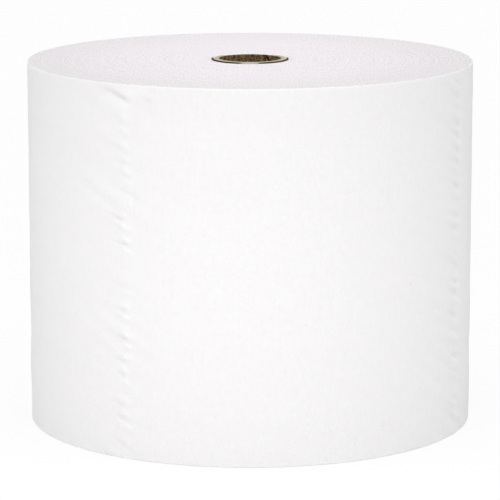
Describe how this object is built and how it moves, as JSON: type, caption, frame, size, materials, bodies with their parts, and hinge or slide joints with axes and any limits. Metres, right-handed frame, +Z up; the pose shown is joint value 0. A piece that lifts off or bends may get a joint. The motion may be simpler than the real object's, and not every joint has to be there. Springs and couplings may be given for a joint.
{
  "type": "toilet paper roll",
  "caption": "Roll of white perforated two-ply toilet tissue wound on a narrow brown cardboard core tube, standing on its cut end.",
  "frame": {"origin": "middle of the cut end that the roll stands on, on the axis of the core", "axes": "+Z up along the core, -Y to the front that the picture faces, +X to its right"},
  "size_m": [0.1199, 0.1198, 0.098],
  "materials": {
    "tissue": "soft white creped tissue, matte",
    "core_board": "plain brown recycled board, matte"
  },
  "bodies": {
    "root": {"tissue_roll": "tissue", "core_tube": "core_board"}
  },
  "joints": []
}
